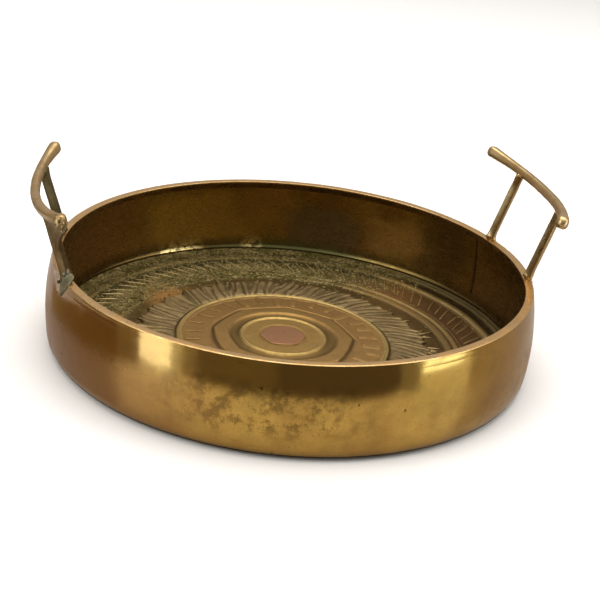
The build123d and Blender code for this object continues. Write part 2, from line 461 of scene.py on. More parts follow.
rimLow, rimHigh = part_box("rim")
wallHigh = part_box("wall")[1]
tray = {
    "cornerCentre": (145.0 * mm, 8.0 * mm),
    "cornerRadius": 8.0 * mm,
    "cornerAngle": 83.0,
    "edgeAngle": 51.0,       # where the base's edge meets the wall
    "bellyHeight": 23.9 * mm,
    "rimProud": 0.4 * mm,
    "sheet": 1.5 * mm,
    "steps": 360,
    "dent": 0.16 * mm,
    "dentSize": 38 * mm,
    "planish": 0.035 * mm,
    "planishSize": 11 * mm,
}
wallTopRadius = rimHigh.x - tray["rimProud"]
bellyRise = wallHigh.z - tray["bellyHeight"]
bellyRun = wallHigh.x - wallTopRadius
bellyArc = (bellyRise ** 2 + bellyRun ** 2) / (2 * bellyRun)
bellyCentre = (wallHigh.x - bellyArc, tray["bellyHeight"])


def wallRadiusAt(height):
    return bellyCentre[0] + math.sqrt(bellyArc ** 2 - (height - bellyCentre[1]) ** 2)


def dentAt(point):
    # the sheet was shaped by hand, so it is nowhere quite round
    return (tray["dent"] * wave(point, tray["dentSize"], 3.1)
            + tray["planish"] * wave(point, tray["planishSize"], 8.4))


def dentRound(bm):
    for vert in bm.verts:
        flat = flatten(vert.co)
        if flat.length > 100 * mm:
            hold = min(1.0, vert.co.z / (12 * mm))
            shaped = Vector((flat.x, flat.y, vert.co.z * 1.6))
            vert.co += flat.normalized() * (dentAt(shaped) - 0.1 * mm) * hold


def buildWall():
    top = 90 + math.degrees(math.asin(bellyRise / bellyArc))
    inner = bellyArc - tray["sheet"]
    innerTop = 90 + math.degrees(math.asin(bellyRise / inner))
    corner = tray["cornerRadius"]
    outside = arcPoints(tray["cornerCentre"], corner, tray["edgeAngle"], tray["cornerAngle"], 6)
    outside += arcPoints(bellyCentre, bellyArc, tray["cornerAngle"], top, 30)[1:]
    inside = arcPoints(bellyCentre, inner, innerTop, tray["cornerAngle"], 24)
    cornerInside = corner - tray["sheet"]
    inside += arcPoints(tray["cornerCentre"], cornerInside, tray["cornerAngle"], tray["edgeAngle"], 5)[1:]
    bm = spinOutline(outside + inside, tray["steps"])
    dentRound(bm)
    bm.normal_update()
    bmesh.ops.recalc_face_normals(bm, faces=bm.faces)
    for face in bm.faces:
        out = flatten(face.calc_center_median())
        face.material_index = 0 if face.normal.dot(out) > 0 else 1
    finishPiece(bm, "wallShell", [wallPolish, wallInside], ["wall"])


buildWall()

# the rim

rimShape = {
    "round": 0.7 * mm,
    "innerRound": 0.25 * mm,
    "steps": 720,
    "lumps": 0.16 * mm,
    "lumpSize": 7 * mm,
    "sway": 0.25 * mm,
    "swaySize": 45 * mm,
}


def buildRim():
    # the flat lip, rounded over and feathered down onto the outside of the wall
    outer = rimHigh.x - 0.15 * mm
    innerRadius = rimHigh.x - 5.8 * mm
    bottom = rimLow.z
    top = rimHigh.z - 0.15 * mm
    r = rimShape["round"]
    q = rimShape["innerRound"]
    outline = [(outer - 1.6 * mm, bottom - 4.6 * mm)]
    for height, proud in ((-4.4, -0.16), (-3.0, -0.03), (-1.8, 0.03), (-0.8, 0.06), (0.2, 0.07), (0.9, 0.06)):
        level = bottom + height * mm
        outline.append((wallRadiusAt(level) + proud * mm, level))
    side = outline[-1][0]
    outline += arcPoints((side - r, top - r), r, 104, 180, 6)
    outline += [(outer - 2.4 * mm, top + 0.04 * mm), (innerRadius + 1.5 * mm, top - 0.05 * mm)]
    outline += arcPoints((innerRadius + q, top - 0.15 * mm - q), q, 180, 270, 3)
    outline += [(innerRadius + 0.1 * mm, bottom + 0.2 * mm), (innerRadius + 2 * mm, bottom)]
    bm = spinOutline(outline, rimShape["steps"])
    dentRound(bm)
    for vert in bm.verts:
        flat = flatten(vert.co)
        out = flat.normalized()
        inward = max(0.0, 1 - (flat.length - innerRadius) / (2.5 * mm))
        vert.co -= out * inward * (rimShape["sway"] * wave(flat, rimShape["swaySize"], 5.2)
                                   + 0.6 * rimShape["lumps"] * wave(flat, rimShape["lumpSize"], 1.2))
        front = max(0.0, -out.y) ** 30     # the braze runs out a little at the front
        if vert.co.z < bottom - 2.4 * mm and flat.length > outer - 1.2 * mm:
            vert.co.z += wave(flat, 4.5 * mm, 9.1) * rimShape["lumps"] * (0.4 + 1.6 * front)
        vert.co.z += 0.10 * mm * wave(flat, rimShape["swaySize"], 6.3)
    bm.normal_update()
    bmesh.ops.recalc_face_normals(bm, faces=bm.faces)
    for face in bm.faces:
        outside = face.normal.z < 0.5 and flatten(face.calc_center_median()).length > outer - 1.6 * mm
        face.material_index = 1 if outside else 0
    finishPiece(bm, "rimRing", [metals["rimSatin"], wallPolish], ["rim", "rim_braze"])


seam = {"bearing": 21, "halfWidth": 1.05 * mm, "halfDepth": 0.42 * mm, "sway": 0.35 * mm, "swell": 0.35}


def buildSeam():
    # the upright lap where the wall's strip closes
    azimuth = math.radians(seam["bearing"])
    out = spoke(azimuth)
    across = spoke(azimuth + math.pi / 2)
    top = 90 + math.degrees(math.asin(bellyRise / bellyArc))
    arc = arcPoints(bellyCentre, bellyArc - tray["sheet"] - 0.05 * mm, 84.0, top - 0.2, 40)
    run = []
    for radius, height in arc:
        rise = Vector((0, 0, height))
        point = out * radius + rise + across * seam["sway"] * wave(rise, 9 * mm, 2.0)
        swell = 1 + seam["swell"] * wave(point, 5 * mm, 3.0)
        run.append((point, seam["halfWidth"] * swell, seam["halfDepth"]))
    bm = sweepRings(placesAlong(run, across), 12, 2.6)
    finishPiece(bm, "wallSeam", [metals["seamDirt"]], ["wall_seam"])


buildRim()
print("wall and rim made")


# the base plate and its relief

# rings: centre radius, half width and height in millimetres, and how flat the top is
baseRings = {
    "dish": (20.5, 6.0, 0.2, 4),
    "discEdge": (26.8, 1.2, 1.0, 1),
    "flatRing": (39.8, 5.0, 0.75, 6),
    "petalEdge": (67.2, 1.35, 1.05, 1),
    "petalStep": (64.6, 1.5, 0.35, 2),
    "smoothRing": (100.0, 4.5, 0.25, 3),
    "twinIn": (107.6, 2.6, 0.75, 3),
    "twinOut": (113.2, 2.0, 0.9, 1),
    "twinFar": (116.8, 0.8, 0.4, 1),
    "outer": (137.8, 2.3, 1.0, 1),
    "footRing": (147.2, 1.3, 0.8, 1),
}
hollows = {
    "afterDisc": (31.3, 3.4, 0.85),
    "aroundInlay": (14.6, 1.2, 0.3),
    "afterFlat": (46.2, 1.2, 0.4),
    "afterPetals": (69.6, 1.1, 0.4),
    "beforeTwin": (104.6, 1.4, 0.3),
    "beforeWall": (143.2, 2.9, 0.75),
}
plate = {
    "steps": 400,
    "octagon": 0.035,
    "hammer": 0.12,
    "hammerSize": 8,
    "crust": 0.42,
    "crustSize": 2.8,
    "buried": 0.6,       # how far the crust at the back fills the rings
}


def reliefHeight(radius):
    height = 0.0
    for centre, halfWidth, rise, flatness in baseRings.values():
        away = abs(radius - centre) / halfWidth
        if away < 1:
            height = max(height, rise * (1 - away ** (2 * flatness)))
    for centre, halfWidth, depth in hollows.values():
        away = abs(radius - centre) / halfWidth
        if away < 1:
            height -= depth * (1 - away ** 2)
    return height


def polygonRadius(angle, sides):
    # distance from the centre to the edge of a polygon whose corners are at 1
    step = math.tau / sides
    return math.cos(step / 2) / math.cos((angle % step) - step / 2)


def backShare(x, y):
    # how far a place lies towards the tray's back, where the crust has grown
    return min(1.0, max(0.0, (y - 0.35 * x - 30 * mm) / (60 * mm)))


# how far the hand-laid pattern has drifted off centre, in millimetres: radius, then x and y
drift = (
    (0, -3.2, -4.0), (70, -3.2, -4.6), (95, -3.6, -7.2), (118, -2.4, -6.0),
    (137, -1.0, -4.2), (146.5, 0, 0), (300, 0, 0),
)
domeRise = 3.3    # the base swells up towards the middle by this many millimetres
domeReach = 105.0


def settle(bm):
    laid = bm.verts.layers.float.new("laidRadius")
    for vert in bm.verts:
        vert[laid] = math.hypot(vert.co.x, vert.co.y)
        radius = math.hypot(vert.co.x, vert.co.y) / mm
        if vert.co.z < 0.9 * mm:
            continue
        for (near, x0, y0), (far, x1, y1) in zip(drift, drift[1:]):
            if near <= radius < far:
                share = (radius - near) / (far - near)
                shift = Vector((x0 + (x1 - x0) * share, y0 + (y1 - y0) * share, 0))
                break
        shift.z = domeRise * max(0.0, 1 - (radius / domeReach) ** 2) ** 2
        vert.co += shift * mm


def buildPlate():
    corner = tray["cornerRadius"]
    inner = corner - tray["sheet"]
    outline = [(0, 0), (40 * mm, 0), (90 * mm, 0), (130 * mm, 0)]
    outline += arcPoints(tray["cornerCentre"], corner, 0, 46, 6)
    outline += arcPoints(tray["cornerCentre"], inner, 46, 14, 4)
    radii = [148.6]
    while radii[-1] > 2.5:
        edge = radii[-1]
        fine = any(abs(edge - ring[0]) < ring[1] + 0.8 for ring in (*baseRings.values(), *hollows.values()))
        radii.append(edge - (0.5 if fine and edge > 26 else 1.1))
    outline += [(radius * mm, plateTop + reliefHeight(radius) * mm) for radius in radii]
    outline.append((0, plateTop))
    bm = spinOutline(outline, plate["steps"], closed=False)
    for vert in bm.verts:
        x, y, z = vert.co
        radius = math.hypot(x, y)
        if z < 1.0 * mm or radius > 149 * mm:
            continue
        place = Vector((x, y, 0))
        lift = plate["hammer"] * wave(place, plate["hammerSize"] * mm, 2.2)
        if radius > 93 * mm:
            share = backShare(x, y)
            lift += plate["crust"] * share * wave(place, plate["crustSize"] * mm, 7.7)
            if radius < 128 * mm:
                lift -= plate["buried"] * share * reliefHeight(radius / mm)
        vert.co.z += lift * mm
    settle(bm)
    for vert in bm.verts:
        radius = math.hypot(vert.co.x, vert.co.y)
        if vert.co.z > 1.0 * mm and radius < 149 * mm:
            eight = max(0.0, 1 - ((radius / mm - 43) / 7) ** 2)
            turned = math.atan2(vert.co.y, vert.co.x) + 0.2
            swell = 1 + plate["octagon"] * eight * (polygonRadius(turned, 8) - 0.97) * 20
            sway = 1 + 0.006 * wave(flatten(vert.co), 40 * mm, 4.4)
            vert.co.x *= swell * sway
            vert.co.y *= swell * sway
    finishPiece(bm, "basePlate", [baseRelief], ["base_plate"])


buildPlate()


def addStroke(bm, radius, angle, length, width, height, tilt=0.0, base=plateTop):
    # one punched stroke: a long low seed lying on the plate, pointing outwards
    made = bmesh.ops.create_uvsphere(bm, u_segments=8, v_segments=4, radius=1.0)["verts"]
    size = Matrix.Diagonal((length / 2, width / 2, height, 1))
    place = Matrix.Rotation(angle, 4, "Z") @ Matrix.Translation((radius, 0, base))
    place = place @ Matrix.Rotation(tilt, 4, "Z")
    bmesh.ops.transform(bm, matrix=place @ size, verts=made)


def finishRelief(bm, name, material):
    settle(bm)
    finishPiece(bm, name, [material], merge=0)


petals = {
    "count": 30,
    "inner": 48.5,
    "outer": 64.0,
    "width": 5.2,
    "height": 0.75,
    "round": 0.22,
    "seed": 11,
}


def buildPetals():
    # low blocks punched side by side, each a little different
    rng = random.Random(petals["seed"])
    bm = bmesh.new()
    for index in range(petals["count"]):
        angle = math.tau * (index + rng.uniform(-0.14, 0.14)) / petals["count"]
        length = (petals["outer"] - petals["inner"]) * rng.uniform(0.65, 1.0)
        middle = petals["outer"] - length / 2 - rng.uniform(0, 1.0)
        width = petals["width"] * rng.uniform(0.6, 1.1)
        made = bmesh.ops.create_cube(bm, size=1.0)["verts"]
        edges = list({edge for vert in made for edge in vert.link_edges})
        rounded = bmesh.ops.bevel(
            bm, geom=edges, offset=petals["round"], segments=3, affect="EDGES", profile=0.5, material=-1,
        )
        block = list({vert for face in rounded["faces"] for vert in face.verts})
        for vert in block:
            vert.co.y *= 1 + 0.35 * vert.co.x       # wider towards the rim
            vert.co.z += 0.35 * vert.co.y           # one side stands higher
        size = Matrix.Diagonal((length * mm, width * mm, petals["height"] * mm, 1))
        turn = Matrix.Rotation(rng.uniform(-0.12, 0.12), 4, "Z")
        place = Matrix.Rotation(angle, 4, "Z") @ Matrix.Translation((middle * mm, 0, plateTop))
        bmesh.ops.transform(bm, matrix=place @ turn @ size, verts=block)
    finishRelief(bm, "petalBand", metals["petalGold"])


leaves = {
    "lobes": 31,
    "steps": 1440,
    "rows": 15,
    "inner": 69.6,
    "outer": 93.5,
    "scallop": 4.6,
    "jag": 2.8,
    "rise": 0.85,
    "ridges": 3.5,
    "ridge": 0.30,
    "tips": 60,
    "seed": 23,
}


def leafEdge(angle):
    # the leaves' outer edge: round scallops with a torn look
    around = spoke(angle)
    lobe = abs(math.sin(angle * leaves["lobes"] / 2 + 1.5 * wave(around, 0.3)))
    torn = wave(around, 0.035, 6.0)
    return leaves["outer"] + leaves["scallop"] * (lobe ** 0.7 - 0.5) + leaves["jag"] * torn


def buildLeaves():
    # one raised band whose surface is drawn into fine curved ridges
    inner, outer = leaves["inner"], leaves["outer"]
    rows = leaves["rows"]
    outline = [((inner + (outer - inner) * row / rows) * mm, plateTop + 1 * mm) for row in range(rows + 1)]
    outline += [((outer + 0.3) * mm, plateTop - 0.6 * mm), ((inner - 0.3) * mm, plateTop - 0.6 * mm)]
    bm = spinOutline(outline, leaves["steps"])
    crest = bm.verts.layers.float.new("crest")
    for vert in bm.verts:
        angle = math.atan2(vert.co.y, vert.co.x)
        share = (math.hypot(vert.co.x, vert.co.y) / mm - inner) / (outer - inner)
        reach = (inner + (leafEdge(angle) - inner) * share) * mm
        place = spoke(angle) * reach
        if vert.co.z > plateTop:
            bend = angle + 0.10 * share + 0.02 * wave(place, 20 * mm, 3.0)
            across = bend * leaves["lobes"] / 2
            fan = math.atan(math.tan(across) * (0.35 + 0.9 * share))
            ridge = math.cos(2 * leaves["ridges"] * fan + 2.0 * wave(place, 16 * mm, 5.0))
            ridge = 1 - 1.6 * (0.5 - 0.5 * ridge) ** 3
            body = min(1.0, 0.25 + share * 2.2) * leaves["rise"]
            drop = 0.75 * max(0.0, (share - 0.93) / 0.07) ** 2
            lobed = 0.35 * abs(math.sin(across)) * share
            height = body + lobed + leaves["ridge"] * (0.25 + share) * ridge - drop
            streak = wave(Vector((math.cos(bend), math.sin(bend), share * 0.03)), 0.02, 7.0)
            height += 0.04 * wave(place, 6 * mm, 1.0) + 0.24 * streak * (0.2 + 0.7 * share)
            edge = max(0.0, share - 0.96) / 0.04
            vert[crest] = max(0.0, min(1.0, 0.62 * ridge + 0.25 + 0.9 * streak * share - 0.8 * edge))
            place.z = plateTop + height * mm * (0.45 if share < 0.02 else 1.0)
        else:
            place.z = vert.co.z
        vert.co = place
    finishRelief(bm, "leafBand", leafBrass)


def buildLeafTips():
    # loose pointed leaves standing out past the band's edge
    rng = random.Random(leaves["seed"])
    bm = bmesh.new()
    for index in range(leaves["tips"]):
        angle = rng.gauss(-0.25, 0.33) if index % 3 else rng.uniform(0, math.tau)
        length = rng.uniform(5.0, 13.0)
        start = leafEdge(angle) - rng.uniform(2.0, 9.0)
        addStroke(bm, (start + length / 2) * mm, angle, length * mm, rng.uniform(0.9, 2.2) * mm,
                  rng.uniform(0.5, 0.8) * mm, rng.uniform(-0.45, 0.45), plateTop + 0.35 * mm)
    finishRelief(bm, "leafTips", metals["chasedLight"])


fringe = {
    "count": 96,
    "inner": 117.5,
    "outer": 136.0,
    "width": 1.0,
    "height": 0.85,
    "lean": 0.6,
    "seed": 37,
}


def buildFringe():
    # plain slanting ticks of uneven length: an ornament, not writing
    rng = random.Random(fringe["seed"])
    bm = bmesh.new()
    for index in range(fringe["count"]):
        angle = math.tau * (index + rng.uniform(-0.15, 0.15)) / fringe["count"]
        tilt = fringe["lean"] + rng.uniform(-0.07, 0.07)
        length = (fringe["outer"] - fringe["inner"]) * rng.uniform(0.82, 1.0) / math.cos(tilt)
        middle = (fringe["outer"] + fringe["inner"]) / 2 + rng.uniform(-0.5, 0.5)
        width = fringe["width"] * rng.uniform(0.8, 1.5)
        addStroke(bm, middle * mm, angle, length * mm, width * mm, fringe["height"] * mm, tilt)
    finishRelief(bm, "fringeBand", metals["fringePale"])


crust = {"grains": 4200, "inner": 93.0, "outer": 147.5, "size": 0.55, "seed": 41}


def buildCrust():
    rng = random.Random(crust["seed"])
    bm = bmesh.new()
    placed = 0
    while placed < crust["grains"]:
        radius = rng.uniform(crust["inner"], crust["outer"])
        angle = rng.uniform(0, math.tau)
        x, y = radius * math.cos(angle) * mm, radius * math.sin(angle) * mm
        share = 0.03 + 0.97 * backShare(x, y)
        density = 1.0 if radius > 117 else 0.6 if radius > 103 else 0.12
        if rng.random() > density * share * (0.45 + 0.9 * max(0, wave(Vector((x, y, 0)), 9 * mm, 1.9))):
            continue
        made = bmesh.ops.create_icosphere(bm, subdivisions=1, radius=1.0)["verts"]
        size = crust["size"] * rng.uniform(0.5, 1.7) * mm
        turn = Matrix.Rotation(rng.uniform(0, math.tau), 4, "Z")
        turn = turn @ Matrix.Rotation(rng.uniform(-0.6, 0.6), 4, "X")
        shape = Matrix.Diagonal((size, size * rng.uniform(0.6, 1.0), size * 0.6, 1))
        height = plateTop + reliefHeight(radius) * mm
        bmesh.ops.transform(bm, matrix=Matrix.Translation((x, y, height)) @ turn @ shape, verts=made)
        placed += 1
    finishRelief(bm, "backCrust", metals["crustGreen"])


buildPetals()
buildLeaves()
buildLeafTips()
buildFringe()
buildCrust()
print("base made")


# the copper centre

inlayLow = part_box("centre_inlay")[0]
inlay = {
    "segments": 96,
    "across": 27.0 * mm,
    "corners": 0.55,
    # how wide each ring of the plate is, and how high it stands in millimetres
    "rings": ((1.0, 0.0), (1.0, 0.50), (0.985, 0.62), (0.96, 0.66), (0.90, 0.64), (0.6, 0.62), (0.25, 0.64)),
}


def buildInlay():
    bm = bmesh.new()
    ring = bmesh.ops.create_circle(
        bm, cap_ends=False, segments=inlay["segments"], radius=inlay["across"] / 2,
    )["verts"]
    for vert in ring:
        angle = math.atan2(vert.co.y, vert.co.x)
        soft = 1 - inlay["corners"] + inlay["corners"] * polygonRadius(angle + 0.12, 6) / math.cos(math.pi / 6)
        vert.co.x *= soft * 1.02
        vert.co.y *= soft
    edges = list(bm.edges)
    size, rise = 1.0, 0.0
    for nextSize, nextRise in inlay["rings"][1:]:
        ring, edges = growRing(bm, edges)
        bmesh.ops.scale(bm, vec=(nextSize / size, nextSize / size, 1), verts=ring)
        bmesh.ops.translate(bm, verts=ring, vec=(0, 0, (nextRise - rise) * mm))
        size, rise = nextSize, nextRise
    middle = sum((vert.co for vert in ring), Vector()) / len(ring)
    bmesh.ops.pointmerge(bm, verts=ring, merge_co=middle)
    bmesh.ops.contextual_create(bm, geom=[edge for edge in bm.edges if edge.is_boundary])
    for vert in bm.verts:
        vert.co.z += inlayLow.z + 0.05 * mm * wave(vert.co, 6 * mm, 2.0)
    settle(bm)
    finishPiece(bm, "centreInlay", [metals["copperPink"]], ["centre_inlay"])


buildInlay()


# the handles

def ringPlace(point, forward, hint, wide, deep):
    # a frame across the run at point, with its first axis near hint
    forward = forward.normalized()
    first = (hint - forward * hint.dot(forward)).normalized()
    second = forward.cross(first)
    turn = Matrix((first, second, forward)).transposed().to_4x4()
    return Matrix.Translation(point) @ turn @ Matrix.Diagonal((wide, deep, 1, 1))


def placesAlong(run, hint, upright=None):
    # a ring frame at each (point, half width, half depth) of the run
    places = []
    for index, (point, wide, deep) in enumerate(run):
        ahead = run[min(index + 1, len(run) - 1)][0] - run[max(index - 1, 0)][0]
        if upright is not None:
            ahead = ahead * 0.25 + upright * ahead.length
        places.append(ringPlace(point, ahead, hint, wide, deep))
    return places


def sweepRings(places, sides, squareness):
    # places are ring frames: a ring is extruded from each one to the next
    bm = bmesh.new()
    first = bmesh.ops.create_circle(bm, cap_ends=False, segments=sides, radius=1.0)["verts"]
    for vert in first:
        angle = math.atan2(vert.co.y, vert.co.x)
        c, s = math.cos(angle), math.sin(angle)
        vert.co.x = math.copysign(abs(c) ** (2 / squareness), c)
        vert.co.y = math.copysign(abs(s) ** (2 / squareness), s)
    bmesh.ops.transform(bm, matrix=places[0], verts=first)
    edges = list({edge for vert in first for edge in vert.link_edges})
    for before, after in zip(places, places[1:]):
        ring, edges = growRing(bm, edges)
        bmesh.ops.transform(bm, matrix=after @ before.inverted(), verts=ring)
    for end in (first, ring):
        middle = sum((vert.co for vert in end), Vector()) / len(end)
        bmesh.ops.pointmerge(bm, verts=end, merge_co=middle)
    return bm


handle = {
    "barRadius": 2.95 * mm,
    "knobRadius": 3.9 * mm,
    "clubLength": 24 * mm,
    "barSides": 28,
    "barSquareness": 2.7,
    "barStations": 72,
    "postHalf": 2.5 * mm,
    "postSides": 32,
    "postSquareness": 5.5,
    "postStations": 34,
    "castLumps": 0.16 * mm,
    "castSize": 5.0 * mm,
    "fileMarks": 0.03 * mm,
    "fileSize": 1.6 * mm,
    "askewIn": 1.4 * mm,
    "askewUp": 1.7 * mm,
    "flare": 0.8,             # how much wider a post is where it meets its bar
    "flareLength": 9 * mm,
    "spread": 0.35,           # and at its foot
    "spreadLength": 7 * mm,
    "facing": 66,             # the bearing of a post's broad side, in degrees
    "twist": 19,              # the right posts turn by this much below the bar
    "twistLength": 14 * mm,
    "mendedBroad": 1.25,
}


def barRun(side):
    # the bar's centre line: a bowed arc from the near knob to the far one
    low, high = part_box("handle_bar_" + side)
    sign = 1 if side == "right" else -1
    knob = 3.8 * mm
    bar = 2.9 * mm
    near, far = low.y + knob, high.y - knob
    outMost = max(abs(low.x), abs(high.x)) - bar
    inMost = min(abs(low.x), abs(high.x)) + knob
    middle = Vector((sign * outMost, (near + far) / 2, low.z + bar))
    bow = Vector((sign * (inMost - outMost), 0, high.z - knob - middle.z))
    half = (far - near) / 2
    arc = (half ** 2 + bow.length_squared) / (2 * bow.length)

    def at(along):
        fall = arc - math.sqrt(arc ** 2 - (along - middle.y) ** 2)
        share = (along - middle.y) / half
        skew = Vector()
        if side == "right":      # this bar was set a little askew
            skew.x = -handle["askewIn"] * min(0.0, share) ** 2
            skew.z = handle["askewUp"] * max(0.0, share)
        return Vector((middle.x, along, middle.z)) + bow.normalized() * fall + skew
    return at, near, far


def buildBar(side):
    at, near, far = barRun(side)
    up = Vector((0.25 if side == "right" else -0.25, 0, 1))
    stations = []
    count = handle["barStations"]
    knob = handle["knobRadius"]
    bar = handle["barRadius"]
    for step in range(count + 1):
        along = near + (far - near) * step / count
        toEnd = min(along - near, far - along)
        swell = max(0.0, 1 - toEnd / handle["clubLength"]) ** 1.6
        if side == "left" and along < near + handle["clubLength"]:
            swell *= 0.25     # this end was dressed flat where it was mended
        radius = bar + (knob - bar) * swell
        ahead = at(min(along + 0.5 * mm, far)) - at(max(along - 0.5 * mm, near))
        stations.append((at(along), ahead, radius))
    dome = []
    for tip, sign in ((0, -1), (-1, 1)):
        point, ahead, radius = stations[tip]
        caps = []
        for turn in (20, 38, 54, 68, 80, 87):
            angle = math.radians(turn)
            reach = ahead.normalized() * sign * radius * math.sin(angle)
            caps.append((point + reach, ahead, radius * math.cos(angle)))
        dome.append(caps)
    stations = dome[0][::-1] + stations + dome[1]
    places = [ringPlace(point, ahead, up, radius, radius * 0.96) for point, ahead, radius in stations]
    bm = sweepRings(places, handle["barSides"], handle["barSquareness"])
    roughen(bm, handle["castLumps"], handle["castSize"], 2.0 if side == "left" else 5.0)
    roughen(bm, handle["fileMarks"], handle["fileSize"], 4.0)
    finishPiece(bm, "handleBar_" + side, [metals["castBrass"]], ["handle_bar_" + side])


def isMended(side, end):
    return (side, end) == ("left", "near")


def nodeEnds(name):
    # the middles of a CAD post's foot and of its top
    corners = [vert.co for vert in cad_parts[name].data.vertices]
    lowest = min(corner.z for corner in corners)
    highest = max(corner.z for corner in corners)
    foot = [corner for corner in corners if corner.z < lowest + 0.05 * mm]
    head = [corner for corner in corners if corner.z > highest - 2.5 * mm]
    middle = [sum(group, Vector()) / len(group) for group in (foot, head)]
    return middle[0], middle[1]


def buildPost(side, end):
    name = "post_" + side + "_" + end
    foot, head = nodeEnds(name)
    rise = (head - foot).normalized()
    head = head + rise * 2.2 * mm
    foot = foot - rise * 0.3 * mm
    length = (head - foot).length
    half = handle["postHalf"]
    count = handle["postStations"]
    mended = isMended(side, end)
    broad = handle["mendedBroad"] if mended else 1.0
    twist = handle["twist"] if side == "right" else 0
    places = []
    for step in range(count + 1):
        share = step / count
        fromTop = (1 - share) * length
        fromFoot = share * length
        widest = 0.1 if mended else handle["flare"]
        flare = 1 + widest * max(0.0, 1 - fromTop / handle["flareLength"]) ** 2
        spread = 1 + handle["spread"] * max(0.0, 1 - fromFoot / handle["spreadLength"]) ** 2
        lean = 1 + 0.12 * share * mended
        wide = half * broad * flare * spread * lean
        deep = half * spread * (1 + 0.2 * (flare - 1))
        point = foot + rise * (length * share)
        turn = math.radians(handle["facing"] - twist * min(1.0, fromTop / handle["twistLength"]))
        places.append(ringPlace(point, rise, spoke(turn), wide, deep))
    bm = sweepRings(places, handle["postSides"], handle["postSquareness"])
    seed = 3.0 + len(side) + 2 * len(end)
    roughen(bm, handle["castLumps"] * 0.8, handle["castSize"] * 2.0, seed)
    roughen(bm, handle["fileMarks"] * 0.25, handle["fileSize"], seed + 1)
    metal = "postBrass" if side == "right" else "webBrass" if mended else "webOlive"
    finishPiece(bm, name + "_cast", [metals[metal]], [name])
    return foot, head, rise


def addBlob(bm, centre, size, subdivisions=4):
    made = bmesh.ops.create_icosphere(bm, subdivisions=subdivisions, radius=1.0)["verts"]
    bmesh.ops.transform(bm, matrix=Matrix.Translation(centre) @ Matrix.Diagonal((*size, 1)), verts=made)


joints = {
    "brazeSize": (2.7 * mm * 0.8, 4.0 * mm * 0.8, 1.5 * mm * 0.8),
    "brazeDrop": 2.3 * mm,
    "brazeLumps": 0.15 * mm,
    "footLumps": 0.15 * mm,
    "footSize": 4.0 * mm,
    "mendedSize": 1.45,       # how much bigger the mended foot is
    "mendedAlong": 3.8 * mm,  # how far it has run along the rim
    "mendedBroad": 1.2,
    "mendedTail": 0.8,
}


def buildBraze(side, end, head, rise):
    name = "top_braze_" + side + "_" + end
    bm = bmesh.new()
    mended = isMended(side, end)
    addBlob(bm, head - rise * joints["brazeDrop"], joints["brazeSize"])
    roughen(bm, joints["brazeLumps"], 3.2 * mm, 6.0 + len(end))
    metal = "brazeMetal" if mended else "webOlive" if side == "left" else "castBrass"
    finishPiece(bm, name + "_cast", [metals[metal]], [name])


def buildSolder(side, end, foot, rise):
    # a skirt of solder: it wraps the post, spreads on the rim and runs down the wall
    name = "foot_solder_" + side + "_" + end
    mended = isMended(side, end)
    out = flatten(foot).normalized()
    across = Vector((-out.y, out.x, 0))
    reach = joints["mendedSize"] if mended else 1.0
    size = joints["footSize"] * reach
    top = rimHigh.z

    def wallPoint(drop):
        return out * (wallRadiusAt(top - drop) - 0.1 * mm) + Vector((0, 0, top - drop))
    post = Vector((foot.x, foot.y, top))
    along = across * (joints["mendedAlong"] if mended else 0)
    broad = joints["mendedBroad"] if mended else 1.0
    tail = joints["mendedTail"] if mended else 1.0
    run = [
        (post + rise * 6.0 * mm * reach, 0.45, 1.8 * mm),
        (post + rise * 4.0 * mm * reach, 0.62, 2.5 * mm),
        (post + rise * 2.0 * mm + out * 0.3 * mm, 0.80, 3.0 * mm),
        (post + rise * 0.6 * mm + out * 0.9 * mm + along * 0.4, 1.0 + 0.4 * (broad - 1), 2.6 * mm),
        (wallPoint(0.3 * mm) - out * 1.0 * mm + along * 0.8, 1.08 * broad, 1.8 * mm),
        (wallPoint(1.4 * mm) - out * 0.3 * mm + along, 1.05 * broad, 1.0 * mm),
        (wallPoint(3.5 * mm) + along, 0.86 * broad, 0.55 * mm),
        (wallPoint(6.0 * mm * tail) + along, 0.60 * broad, 0.42 * mm),
        (wallPoint(8.5 * mm * tail) + along, 0.34 * broad, 0.34 * mm),
        (wallPoint(12.0 * mm * tail) + along * 0.8, 0.10, 0.22 * mm),
    ]
    run = [(point, wide * size, thick) for point, wide, thick in run]
    bm = sweepRings(placesAlong(run, across), 28, 2.3)
    bmesh.ops.subdivide_edges(bm, edges=bm.edges, cuts=1, use_grid_fill=True, smooth=0.6)
    roughen(bm, joints["footLumps"], 3.0 * mm, 2.0 + len(side) + len(end))
    metal = metals["solderGrey" if mended else "postBrass"]
    finishPiece(bm, name + "_skirt", [metal], [name])


web = {
    "start": 0.30,                # how far up the post the web begins
    "stations": 28,
    "half": 2.3 * mm,
    "inset": 2.6 * mm,
    "crustShift": (-0.4 * mm, 1.6 * mm, -1.3 * mm),
    "crustSize": (4.1 * mm, 6.6 * mm, 4.7 * mm),
    "pitDepth": 1.0 * mm,
    "pitSize": 1.9 * mm,
}


